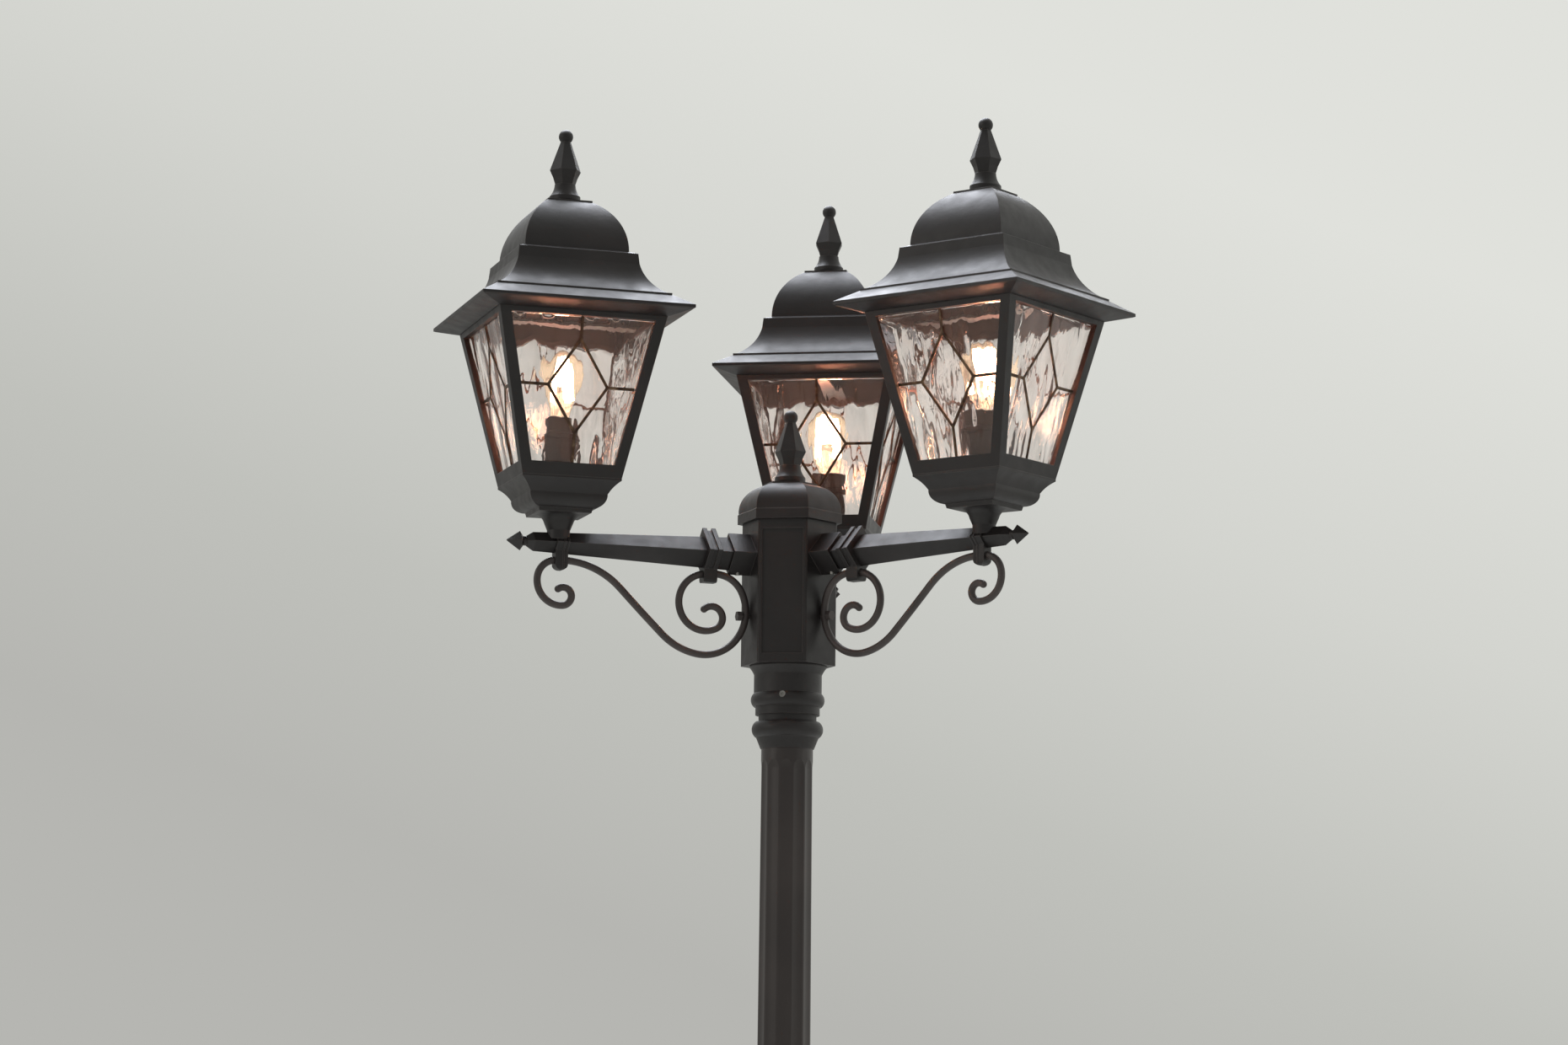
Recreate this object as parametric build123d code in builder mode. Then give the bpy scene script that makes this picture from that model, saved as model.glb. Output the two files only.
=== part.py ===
from build123d import *

import os
from math import acos, atan2, cos, degrees, radians, sin, sqrt

os.makedirs("parts", exist_ok=True)

# Triple head lamp post: three square lanterns on scrolled arms round a hexagonal head column.
# Driving dimensions in millimetres. The origin is on the post axis at the ground, +Z is up,
# the rear arm points along +Y and a panel of the head column faces -Y.

bearings = {"left": 210.0, "right": 330.0, "rear": 90.0}
column_foot = 1572.0
arm_reach = 290.0
lantern_turns = {"left": -3.0, "right": 3.0, "rear": 0.0}
fit_gap = 0.1
seat_gap = 0.3

# Base plate and pedestal
plate_corner = 150.0
plate_thickness = 12.0
anchor_circle = 132.0
anchor_hole_radius = 6.0
anchor_count = 6
cable_entry_radius = 22.0
spigot_height = 40.0
spigot_wall = 5.0
pedestal_wall = 6.0
plinth_apothem = 100.0
plinth_height = 26.0
plinth_hollow = 7.0
die_foot_apothem = 80.0
die_foot_height = 70.0
die_head_apothem = 67.0
die_head_height = 235.0
cornice_apothem = 74.0
cornice_height = 12.0
shoulder_height = 300.0
shoulder_radius = 46.0
pedestal_neck_height = 352.0
pedestal_ring_radius = 50.0
pedestal_panel_depth = 3.0
pedestal_panel_margin = 12.0

# Post tube
tube_top_radius = 30.8
tube_foot_radius = 35.0
tube_bore_radius = 26.8
tube_entry = 80.0
flute_count = 12
flute_radius = 30.0
flute_depth = 1.7
flute_top_drop = 24.0
flute_first = -52.5

# Post collar, from the column foot down
collar_height = 99.0
flare_radius = 46.0
neck_radius = 40.5
ring_one_radius = 44.0
ring_one_drop = 41.0
ring_one_half = 8.0
band_radius = 38.4
band_drop = 59.0
groove_radius = 34.6
groove_drop = 67.0
ring_two_radius = 42.6
ring_two_drop = 76.5
ring_two_half = 9.5
taper_radius = 37.2
collar_screw_drop = 37.0
grub_radius = 4.0
grub_length = 9.0
wireway_radius = 18.0

# Head column
column_apothem = 50.0
column_height = 171.5
column_wall = 6.0
column_floor = 10.0
column_edge = 1.5
panel_half = 24.5
panel_foot = 10.7
panel_head = 160.0
panel_depth = 2.5
bridge_ledge = 3.0
bridge_ledge_depth = 9.0
floor_screw_circle = 28.0
floor_screw_radius = 3.0
floor_screw_length = 26.0
floor_head_radius = 5.0
floor_head_height = 3.5

# Column cap
cap_rim_apothem = 54.8
cap_rim_height = 12.5
cap_rim_step = 1.0
cap_dome_apothem = 53.8
cap_dome_height = 33.6
cap_dome_bulge = 8.0
cap_crown_apothem = 28.6
cap_crown_height = 2.0
cap_wall = 4.0

# Arms
arm_axis = 131.0
arm_root = 46.0
arm_overhang = 31.0
arm_root_half = 21.0
arm_end_half = 11.3
arm_nose_length = 8.5
arm_nose_half = 6.0
wire_bore_radius = 5.0
sleeve_reach = 78.0
sleeve_half = 25.0
spigot_half = 18.0
sleeve_screw_radius = 3.0
sleeve_screw_reach = 66.0
tip_neck_radius = 5.5
tip_neck_length = 3.5
tip_half = 11.6
tip_swell = 4.0
tip_length = 16.0
tip_point_half = 0.8
tip_spigot_radius = 4.0
tip_spigot_length = 12.0

# Scroll: a round bar bent through (radius, turn) pairs, positive turns to the left
scroll_radius = 4.3
scroll_start_height = 76.9
scroll_inward = 234.57
scroll_heading = 140.6
scroll_bends = [
    (10.2, 153.4),
    (12.3, 60.9),
    (28.9, 106.8),
    (23.0, 71.6),
    (99.7, 51.8),
    (2470.0, -1.7),
    (82.1, -34.4),
    (53.3, -125.9),
    (35.6, -48.6),
    (58.3, -31.3),
    (34.5, -101.2),
    (32.6, -89.4),
    (13.8, -197.1),
]
scroll_bolt_height = 57.0
scroll_bolt_radius = 2.4
scroll_bolt_head = 6.0
scroll_bolt_head_length = 5.8
scroll_bolt_washer = 1.7

# Scroll clips
clip_reach = 102.5
clip_rib = 5.2
clip_groove = 6.0
clip_rib_wall = 10.5
clip_groove_wall = 7.5
clip_half = 9.0
clip_bottom = 94.5
clip_corner = 4.0
strap_inset = 2.5
strap_width = 15.0
strap_wall = 3.2
strap_rib = 2.2
strap_rib_wall = 4.6
strap_half = 7.2
strap_bottom = 98.6
strap_round = 5.5
strap_corner = 4.0

# Lantern, heights above the ridge of the arm
base_top = 59.5
base_half = 59.7
base_rim = 2.5
base_foot = (31.4, 21.4)
base_bowl_foot = (32.5, 26.0)
base_bowl_middle = (42.8, 31.0)
base_bowl_top = (46.5, 42.0)
base_cove_foot = (48.3, 45.0)
base_cove_middle = (52.8, 51.0)
stem_top = (28.0, 22.0)
stem_flare = (20.0, 17.2)
stem_ring = (17.2, 11.6)
stem_flare_foot = 3.0
stem_radius = 13.6
stem_saddle = 8.0
saddle_bite = 0.8
nipple_radius = 6.5
nipple_bore = 4.2
rail_top = 74.5
cage_top = 248.0
cage_top_half = 100.6
cage_wall = 6.0
cage_header = 6.0
cage_opening_inset = 12.6
post_width = 13.0
glass_thickness = 3.0
glass_margin = 10.0
lead_thickness = 1.5
lead_width = 3.4
diamond_half = 35.5
diamond_foot = 109.0
diamond_head = 216.0

holder_radius = 20.0
holder_top = 135.0
holder_skirt = 110.0
holder_collar_radius = 21.5
holder_bore_depth = 30.0
cap_radius = 13.2
bulb_cap_length = 26.0
bulb_contact_radius = 4.5
bulb_contact_length = 3.0
bulb_neck_radius = 15.0
bulb_radius = 30.0
bulb_centre = 188.0
bulb_shoulder = 35.0
bulb_wall = 1.0

# Roof, half widths and heights of its outline
roof_wall = 3.0
roof_seat_lip = 1.4
roof_opening_inset = 5.1
brim_overhang = 26.4
lip_width = 2.5
lip_foot = 254.5
lip_top = 259.0
bead_overhang = 4.0
bead_step = 3.0
bead_foot = 272.8
bead_height = 2.2
skirt_middle = (80.0, 296.4)
skirt_top_half = 73.2
skirt_top = 313.4
ledge_half = 71.8
ledge_top = 326.0
dome_foot = 329.4
dome_foot_half = 62.9
dome_radius = 75.0
dome_crown_half = 27.0
crown_top = 395.4

# Roof bridge and finial
bridge_width = 18.0
bridge_thickness = 3.0
bridge_end_gap = 1.5
stud_radius = 4.0
stud_engagement = 26.0
stud_hole_gap = 1.0
finial_bore_depth = 29.0
finial_foot_radius = 18.5
finial_foot_chamfer = 1.5
finial_foot_height = 8.0
finial_waist_radius = 12.4
finial_waist = 23.0
finial_cup = 31.0
finial_cup_corner = 14.9
finial_spear = 39.5
finial_spear_corner = 19.0
finial_neck = 73.0
finial_neck_corner = 6.0
finial_ball = 81.5
finial_ball_radius = 8.6
finial_turns = {"left": 0.0, "right": 21.0, "rear": 8.0, "cap": 0.0}

# Terminal block
block_width = 38.0
block_depth = 20.0
block_height = 62.0
block_pitch = 12.0
block_screw_radius = 2.6
block_screw_depth = 6.0

reach_all = 400.0


def save(piece, label):
    """Name a finished piece and write it to its own file."""
    piece.label = label
    export_step(piece, f"parts/{label}.step")


def heading(bearing):
    """Unit vector at a compass bearing measured from +X."""
    return (cos(radians(bearing)), sin(radians(bearing)), 0.0)


def upright(bearing, centre=(0.0, 0.0, 0.0)):
    """Vertical plane: local x runs out along the bearing, local y runs up."""
    out = heading(bearing)
    return Plane(origin=centre, x_dir=out, z_dir=(out[1], -out[0], 0.0))


def across(bearing, reach, height):
    """Vertical plane square to the bearing: local x is sideways, local y is up."""
    out = heading(bearing)
    return Plane(
        origin=(reach * out[0], reach * out[1], height),
        x_dir=(-out[1], out[0], 0.0),
        z_dir=out,
    )


def level(bearing, reach, height):
    """Level plane at a reach along the bearing, local x runs out along it."""
    out = heading(bearing)
    return Plane(origin=(reach * out[0], reach * out[1], height), x_dir=out, z_dir=(0, 0, 1))


def faceted(outline, planes):
    """Body whose every side has the same outline: the overlap of one long bar per plane."""
    with BuildPart() as form:
        for turn, plane in enumerate(planes):
            extrude(outline(plane), amount=reach_all, both=True, mode=Mode.INTERSECT if turn else Mode.ADD)
    return form.part


arm_end = arm_reach + arm_overhang
arm_nose = arm_end + arm_nose_length
strap_reach = arm_reach - strap_inset


def arm_half(reach):
    """Half diagonal of the arm's diamond section at a reach from the post axis."""
    share = (reach - arm_root) / (arm_end - arm_root)
    return arm_root_half + share * (arm_end_half - arm_root_half)


def diamond(half):
    """Square standing on its corner."""
    Polygon((half, 0), (0, half), (-half, 0), (0, -half), align=None)


arm_height = column_foot + arm_axis
lantern_foot = arm_height + arm_half(arm_reach) - saddle_bite
cage_slope = (cage_top_half - base_half) / (cage_top - base_top)
cage_opening = cage_top_half - cage_opening_inset
roof_seat_half = cage_top_half + roof_seat_lip
roof_opening = cage_top_half - roof_opening_inset
brim_half = cage_top_half + brim_overhang
lip_inner_half = brim_half - lip_width
bead_half = cage_top_half + bead_overhang
skirt_foot_half = bead_half - bead_step


def cage_half(height):
    """Half width of the cage's outer faces at a height above the lantern foot."""
    return base_half + cage_slope * (height - base_top)


def lantern_centre(side, height=0.0):
    """Point on a lantern's axis at a height above its foot on the arm's ridge."""
    out = heading(bearings[side])
    return (arm_reach * out[0], arm_reach * out[1], lantern_foot + height)


def lantern_upright(side, quarter=0):
    """Vertical plane through a lantern's axis, square to one of its faces."""
    return upright(bearings[side] + lantern_turns[side] + 90.0 * quarter, lantern_centre(side))


def lantern_planes(side):
    """The two vertical planes through the lantern axis, square to its faces."""
    return [lantern_upright(side, 0), lantern_upright(side, 1)]


def lantern_level(side, height):
    """Level plane across a lantern, turned as the lantern is."""
    out = heading(bearings[side] + lantern_turns[side])
    return Plane(origin=lantern_centre(side, height), x_dir=out, z_dir=(0, 0, 1))


# ---------------------------------------------------------------- base plate

plate_top = plate_thickness

with BuildPart() as base_plate:
    with BuildSketch(Plane.XY):
        RegularPolygon(plate_corner, 6)
    extrude(amount=plate_thickness)
    chamfer(base_plate.edges().group_by(Axis.Z)[-1], 3.0)
    with BuildSketch(Plane.XY.offset(plate_top)):
        Circle(tube_bore_radius - fit_gap)
    extrude(amount=spigot_height)
    with Locations((0, 0, plate_top + spigot_height)):
        Hole(cable_entry_radius)
    with PolarLocations(anchor_circle, anchor_count):
        Hole(anchor_hole_radius)

save(base_plate.part, "base_plate")

# ---------------------------------------------------------------- pedestal

hexagon_planes = [upright(turn) for turn in (-90.0, -30.0, 30.0)]
die_foot = plate_top + die_foot_height
die_head = plate_top + die_head_height
cornice_top = die_head + cornice_height
shoulder = plate_top + shoulder_height
pedestal_top = plate_top + pedestal_neck_height
collar_foot = column_foot - collar_height
panel_low = die_foot + pedestal_panel_margin
panel_high = die_head - pedestal_panel_margin - cornice_height / 3
panel_side = die_head_apothem / sqrt(3) - pedestal_panel_margin


def tube_radius(height):
    """Outside radius of the tapering tube at a height above the ground."""
    share = (height - plate_top) / (collar_foot - plate_top)
    return tube_foot_radius + share * (tube_top_radius - tube_foot_radius)


def die_half(height):
    """Distance of the pedestal's leaning faces from the axis at a height."""
    share = (height - die_foot) / (die_head - cornice_height / 3 - die_foot)
    return die_foot_apothem + share * (die_head_apothem - die_foot_apothem)



def pedestal_outline(plane, inset=0.0):
    """Outline of the six-sided pedestal, by the distance of its faces from the axis."""
    plinth_top = plate_top + plinth_height
    with BuildSketch(plane) as outline:
        with BuildLine():
            Polyline(
                (0, plate_top),
                (plinth_apothem - inset, plate_top),
                (plinth_apothem - inset, plinth_top - inset / 2),
            )
            ThreePointArc(
                (plinth_apothem - inset, plinth_top - inset / 2),
                (die_foot_apothem + plinth_hollow - inset, die_foot - 2.4 * plinth_hollow),
                (die_foot_apothem - inset, die_foot),
            )
            Polyline(
                (die_foot_apothem - inset, die_foot),
                (die_head_apothem - inset, die_head - cornice_height / 3),
                (cornice_apothem - inset, die_head + cornice_height / 4),
                (cornice_apothem - inset, cornice_top - inset / 2),
            )
            ThreePointArc(
                (cornice_apothem - inset, cornice_top - inset / 2),
                ((cornice_apothem + shoulder_radius) / 2 - 4.0 - inset, (cornice_top + shoulder) / 2 - 4.0 - inset / 2),
                (shoulder_radius - inset, shoulder - inset),
            )
            Line((shoulder_radius - inset, shoulder - inset), (0, shoulder - inset))
            mirror(about=Plane.YZ)
        make_face()
    return outline.sketch


pedestal_block = faceted(pedestal_outline, hexagon_planes)
pedestal_hollow = faceted(lambda plane: pedestal_outline(plane, pedestal_wall), hexagon_planes)

with BuildPart() as pedestal:
    add(pedestal_block)
    with BuildSketch(Plane.XZ):
        with BuildLine():
            Polyline(
                (0, shoulder - pedestal_wall),
                (shoulder_radius - 3.0, shoulder - pedestal_wall),
                (shoulder_radius - 3.0, shoulder + 6.0),
            )
            ThreePointArc(
                (shoulder_radius - 3.0, shoulder + 6.0),
                (pedestal_ring_radius, shoulder + 14.0),
                (shoulder_radius - 3.0, shoulder + 22.0),
            )
            Polyline(
                (shoulder_radius - 3.0, shoulder + 22.0),
                (shoulder_radius - 5.0, shoulder + 34.0),
                (tube_radius(pedestal_top) + 3.0, pedestal_top),
                (0, pedestal_top),
                (0, shoulder - pedestal_wall),
            )
        make_face()
    revolve(axis=Axis.Z)
    add(pedestal_hollow, mode=Mode.SUBTRACT)
    for turn in range(6):
        with BuildSketch(upright(-90.0 + 60.0 * turn)):
            Polygon(
                (die_half(panel_low) - pedestal_panel_depth, panel_low),
                (die_half(panel_low) + plinth_hollow, panel_low),
                (die_half(panel_high) + plinth_hollow, panel_high),
                (die_half(panel_high) - pedestal_panel_depth, panel_high),
                align=None,
            )
        extrude(amount=panel_side, both=True, mode=Mode.SUBTRACT)
    with BuildSketch(Plane.XY.offset(shoulder - 2 * pedestal_wall)):
        Circle(tube_radius(shoulder) + seat_gap)
    extrude(amount=pedestal_top, mode=Mode.SUBTRACT)

save(pedestal.part, "pedestal")

# ---------------------------------------------------------------- post tube

tube_top = collar_foot + tube_entry
flute_start = collar_foot - flute_top_drop
flute_length = flute_start - pedestal_top - flute_top_drop
tube_lean = degrees(atan2(tube_foot_radius - tube_top_radius, collar_foot - plate_top))

with BuildPart() as flute_cutter:
    Cylinder(flute_radius, flute_length, align=(Align.CENTER, Align.CENTER, Align.MAX))
    Sphere(flute_radius)
    with Locations((0, 0, -flute_length)):
        Sphere(flute_radius)

with BuildPart() as post_tube:
    with BuildSketch(Plane.XZ):
        Polygon(
            (tube_bore_radius, plate_top),
            (tube_foot_radius, plate_top),
            (tube_top_radius, collar_foot),
            (tube_top_radius, tube_top),
            (tube_bore_radius, tube_top),
            align=None,
        )
    revolve(axis=Axis.Z)
    flute_reach = tube_radius(flute_start) + flute_radius - flute_depth
    for turn in range(flute_count):
        out = heading(flute_first + turn * 360.0 / flute_count)
        origin = (flute_reach * out[0], flute_reach * out[1], flute_start)
        place = Location(Plane(origin=origin, x_dir=out)) * Rotation(0, -tube_lean, 0)
        add(flute_cutter.part.moved(place), mode=Mode.SUBTRACT)

save(post_tube.part, "post_tube")

# ---------------------------------------------------------------- post collar

with BuildPart() as post_collar:
    with BuildSketch(Plane.XZ):
        with BuildLine():
            Polyline(
                (wireway_radius, column_foot),
                (flare_radius, column_foot),
                (flare_radius, column_foot - 2.0),
            )
            ThreePointArc(
                (flare_radius, column_foot - 2.0),
                (neck_radius + 2.2, column_foot - 6.5),
                (neck_radius, column_foot - 11.0),
            )
            Line((neck_radius, column_foot - 11.0), (neck_radius, column_foot - ring_one_drop + ring_one_half))
            ThreePointArc(
                (neck_radius, column_foot - ring_one_drop + ring_one_half),
                (ring_one_radius, column_foot - ring_one_drop),
                (neck_radius, column_foot - ring_one_drop - ring_one_half),
            )
            Polyline(
                (neck_radius, column_foot - ring_one_drop - ring_one_half),
                (band_radius, column_foot - ring_one_drop - ring_one_half),
                (band_radius, column_foot - band_drop),
                (groove_radius, column_foot - band_drop),
                (groove_radius, column_foot - groove_drop),
                (taper_radius + 1.0, column_foot - groove_drop),
            )
            ThreePointArc(
                (taper_radius + 1.0, column_foot - groove_drop),
                (ring_two_radius, column_foot - ring_two_drop),
                (taper_radius, column_foot - ring_two_drop - ring_two_half),
            )
            Polyline(
                (taper_radius, column_foot - ring_two_drop - ring_two_half),
                (tube_top_radius + 1.2, collar_foot),
                (tube_top_radius + fit_gap, collar_foot),
                (tube_top_radius + fit_gap, tube_top),
                (wireway_radius, tube_top),
                (wireway_radius, column_foot),
            )
        make_face()
    revolve(axis=Axis.Z)
    for bearing in (-90.0, 30.0, 150.0):
        with BuildSketch(across(bearing, tube_top_radius - 2.0, column_foot - collar_screw_drop)):
            Circle(grub_radius + fit_gap)
        extrude(amount=flare_radius, mode=Mode.SUBTRACT)
        with Locations(level(bearing, floor_screw_circle, column_foot)):
            Hole(floor_screw_radius, depth=floor_screw_length - column_floor + 2.0)

save(post_collar.part, "post_collar")

# ---------------------------------------------------------------- head column

column_top = column_foot + column_height
column_corner = column_apothem * 2 / sqrt(3)
bridge_seat = column_top - bridge_ledge_depth


def arm_wedge(bearing, from_reach, to_reach, extra=0.0):
    """Tapering diamond bar between two reaches along the arm axis."""
    with BuildPart() as wedge:
        for reach in (from_reach, to_reach):
            with BuildSketch(across(bearing, reach, arm_height)):
                diamond(arm_half(reach) + extra)
        loft(ruled=True)
    return wedge.part


scroll_start = (column_apothem + scroll_radius + seat_gap + scroll_inward, scroll_start_height)


def scroll_plane(bearing):
    """Upright plane of the arm, measured from the column foot."""
    return upright(bearing, (0.0, 0.0, column_foot))


def scroll_bar(bearing, radius):
    """The bent bar of one scroll, as a sweep along its tangent arcs."""
    plane = scroll_plane(bearing)
    with BuildPart() as bar:
        with BuildLine(plane) as route:
            aim = scroll_heading
            point = scroll_start
            for bend, turn in scroll_bends:
                arc = JernArc(point, (cos(radians(aim)), sin(radians(aim))), bend, turn)
                side = 90.0 if turn > 0 else -90.0
                centre = (point[0] + bend * cos(radians(aim + side)), point[1] + bend * sin(radians(aim + side)))
                aim += turn
                point = (centre[0] - bend * cos(radians(aim + side)), centre[1] - bend * sin(radians(aim + side)))
        first = Plane(route.line @ 0, z_dir=route.line % 0)
        with BuildSketch(first):
            Circle(radius)
        sweep(path=route.line)
    return bar.part


def scroll_ends():
    """First and last point of the scroll's route in its own plane."""
    aim = scroll_heading
    point = scroll_start
    for bend, turn in scroll_bends:
        side = 90.0 if turn > 0 else -90.0
        centre = (point[0] + bend * cos(radians(aim + side)), point[1] + bend * sin(radians(aim + side)))
        aim += turn
        point = (centre[0] - bend * cos(radians(aim + side)), centre[1] - bend * sin(radians(aim + side)))
    return scroll_start, point


with BuildPart() as head_column:
    with BuildSketch(Plane.XY.offset(column_foot)):
        RegularPolygon(column_corner, 6)
    extrude(amount=column_height)
    chamfer(head_column.edges().filter_by(Axis.Z), column_edge)
    with BuildSketch(Plane.XY.offset(column_foot + column_floor)):
        RegularPolygon(column_corner - column_wall * 2 / sqrt(3), 6)
    extrude(amount=column_height, mode=Mode.SUBTRACT)
    with BuildSketch(Plane.XY.offset(bridge_seat)):
        RegularPolygon(column_corner - (column_wall - bridge_ledge) * 2 / sqrt(3), 6)
    extrude(amount=column_height, mode=Mode.SUBTRACT)
    for bearing in bearings.values():
        with BuildSketch(across(bearing, column_apothem - column_wall / 2, arm_height)):
            diamond(sleeve_half)
        extrude(amount=sleeve_reach - column_apothem + column_wall / 2)
    for bearing in bearings.values():
        with BuildSketch(across(bearing, arm_root - column_wall, arm_height)):
            diamond(spigot_half + fit_gap)
        extrude(amount=sleeve_reach, mode=Mode.SUBTRACT)
        with BuildSketch(level(bearing, sleeve_screw_reach, arm_height - sleeve_half - 2.0)):
            Circle(sleeve_screw_radius + fit_gap)
        extrude(amount=sleeve_half, mode=Mode.SUBTRACT)
        with BuildSketch(across(bearing, column_apothem - 2 * column_wall, column_foot + scroll_bolt_height)):
            Circle(scroll_bolt_radius + fit_gap)
        extrude(amount=3 * column_wall, mode=Mode.SUBTRACT)
        add(scroll_bar(bearing, scroll_radius + fit_gap), mode=Mode.SUBTRACT)
        opposite = bearing + 180.0
        panel_middle = column_foot + (panel_foot + panel_head) / 2
        with BuildSketch(across(opposite, column_apothem - panel_depth, panel_middle)):
            Rectangle(2 * panel_half, panel_head - panel_foot)
        extrude(amount=column_wall, mode=Mode.SUBTRACT)
        with Locations(level(opposite, floor_screw_circle, column_foot + column_floor)):
            Hole(floor_screw_radius + fit_gap, depth=column_floor)
    with Locations((0, 0, column_foot + column_floor)):
        Hole(wireway_radius, depth=column_floor)

save(head_column.part, "head_column")

# ---------------------------------------------------------------- cap and its bridge

cap_rim_top = column_top + cap_rim_height
cap_dome_top = cap_rim_top + cap_dome_height
cap_top = cap_dome_top + cap_crown_height
dome_chord = sqrt((cap_dome_apothem - cap_crown_apothem) ** 2 + cap_dome_height**2)
dome_out = cap_dome_height / dome_chord
dome_up = (cap_dome_apothem - cap_crown_apothem) / dome_chord


def dome_middle(bulge):
    """Middle of the dome's curve, bulging square to its chord."""
    return (
        (cap_dome_apothem + cap_crown_apothem) / 2 + dome_out * bulge,
        (cap_rim_top + cap_dome_top) / 2 + dome_up * bulge,
    )


def cap_outline(plane):
    """Outline of the six-sided cap: rim, dome and crown."""
    with BuildSketch(plane) as outline:
        with BuildLine():
            Polyline(
                (0, column_top),
                (cap_rim_apothem, column_top),
                (cap_rim_apothem, cap_rim_top - cap_rim_step),
                (cap_dome_apothem, cap_rim_top),
            )
            ThreePointArc(
                (cap_dome_apothem, cap_rim_top),
                dome_middle(cap_dome_bulge),
                (cap_crown_apothem, cap_dome_top),
            )
            Polyline((cap_crown_apothem, cap_dome_top), (cap_crown_apothem, cap_top), (0, cap_top))
            mirror(about=Plane.YZ)
        make_face()
    return outline.sketch


def cap_hollow_outline(plane):
    """Outline of the room inside the cap."""
    rest = column_apothem - column_wall
    with BuildSketch(plane) as outline:
        with BuildLine():
            Polyline((0, column_top - 1.0), (rest, column_top - 1.0), (rest, cap_rim_top))
            ThreePointArc(
                (rest, cap_rim_top),
                dome_middle(cap_dome_bulge - 1.6 * cap_wall),
                (cap_crown_apothem - cap_wall, cap_dome_top - cap_wall),
            )
            Line((cap_crown_apothem - cap_wall, cap_dome_top - cap_wall), (0, cap_dome_top - cap_wall))
            mirror(about=Plane.YZ)
        make_face()
    return outline.sketch


cap_block = faceted(cap_outline, hexagon_planes)
cap_hollow = faceted(cap_hollow_outline, hexagon_planes)

with BuildPart() as column_cap:
    add(cap_block)
    add(cap_hollow, mode=Mode.SUBTRACT)
    with Locations((0, 0, cap_top)):
        Hole(stud_radius + stud_hole_gap)

save(column_cap.part, "column_cap")


def make_bridge(label, plane, half_length, stud_top):
    """Flat strap with a welded stud: local z is up from the strap's underside."""
    with BuildPart() as bridge:
        with BuildSketch(plane):
            Rectangle(2 * half_length, bridge_width)
        extrude(amount=bridge_thickness)
        with BuildSketch(plane):
            Circle(stud_radius)
        extrude(amount=stud_top)
        chamfer(bridge.edges().group_by(Axis.Z)[-1], 1.0)
    save(bridge.part, label)


def make_finial(label, plane, turn):
    """Round foot and waist, six-sided spear and ball, with a blind bore for the stud."""
    with BuildPart() as finial:
        with BuildSketch(Plane(plane.origin, x_dir=plane.x_dir, z_dir=plane.x_dir.cross(plane.z_dir))):
            with BuildLine():
                Polyline(
                    (0, 0),
                    (finial_foot_radius - finial_foot_chamfer, 0),
                    (finial_foot_radius, 2 * finial_foot_chamfer),
                    (finial_foot_radius, finial_foot_height),
                )
                ThreePointArc(
                    (finial_foot_radius, finial_foot_height),
                    (finial_waist_radius + finial_foot_chamfer, (finial_foot_height + finial_waist) / 2),
                    (finial_waist_radius, finial_waist),
                )
                Polyline((finial_waist_radius, finial_waist), (0, finial_waist), (0, 0))
            make_face()
        revolve(axis=Axis(plane.origin, plane.z_dir))
        hexagons = (
            (finial_waist, finial_waist_radius),
            (finial_cup, finial_cup_corner),
            (finial_spear, finial_spear_corner),
            (finial_neck + 3.0, finial_neck_corner),
        )
        for low, high in zip(hexagons[:-1], hexagons[1:]):
            for height, corner in (low, high):
                with BuildSketch(plane.offset(height)):
                    RegularPolygon(corner, 6, rotation=turn)
            loft(ruled=True)
        with Locations(plane.offset(finial_ball)):
            Sphere(finial_ball_radius)
        with BuildSketch(plane):
            Circle(stud_radius + fit_gap)
        extrude(amount=finial_bore_depth, mode=Mode.SUBTRACT)
    save(finial.part, label)


cap_bridge_half = column_apothem - column_wall + bridge_ledge - bridge_end_gap / 2
make_bridge("cap_bridge", level(90.0, 0.0, bridge_seat), cap_bridge_half, cap_top - bridge_seat + stud_engagement)
make_finial("cap_finial", level(0.0, 0.0, cap_top), finial_turns["cap"])

# ---------------------------------------------------------------- terminal block

block_back = across(-90.0, column_apothem - column_wall, column_foot + block_height)

with BuildPart() as terminal_block:
    with BuildSketch(block_back):
        Rectangle(block_width, block_depth)
    extrude(amount=-block_depth)
    for row in (-1, 1):
        with BuildSketch(block_back.offset(-block_depth)):
            with Locations((0, row * block_depth / 4)):
                with GridLocations(block_pitch, 1, 3, 1):
                    Circle(block_screw_radius)
        extrude(amount=block_screw_depth, mode=Mode.SUBTRACT)

save(terminal_block.part, "terminal_block")

# ---------------------------------------------------------------- fasteners

with BuildPart() as collar_screws:
    for bearing in (-90.0, 30.0, 150.0):
        with BuildSketch(across(bearing, tube_top_radius + fit_gap, column_foot - collar_screw_drop)):
            Circle(grub_radius)
        extrude(amount=grub_length)
        with BuildSketch(
            across(bearing, tube_top_radius + fit_gap + grub_length, column_foot - collar_screw_drop)
        ):
            RegularPolygon(grub_radius / 2, 6)
        extrude(amount=-grub_length / 3, mode=Mode.SUBTRACT)

save(collar_screws.part, "collar_screws")

with BuildPart() as column_screws:
    for bearing in bearings.values():
        with BuildSketch(level(bearing + 180.0, floor_screw_circle, column_foot + column_floor)):
            Circle(floor_screw_radius - fit_gap)
        extrude(amount=-floor_screw_length)
        with BuildSketch(level(bearing + 180.0, floor_screw_circle, column_foot + column_floor)):
            RegularPolygon(floor_head_radius, 6)
        extrude(amount=floor_head_height)

save(column_screws.part, "column_screws")

with BuildPart() as sleeve_screws:
    for bearing in bearings.values():
        with BuildSketch(level(bearing, sleeve_screw_reach, arm_height - spigot_half - seat_gap)):
            Circle(sleeve_screw_radius)
        extrude(amount=spigot_half - sleeve_half)

save(sleeve_screws.part, "sleeve_screws")


# ---------------------------------------------------------------- arms and scrolls


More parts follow.
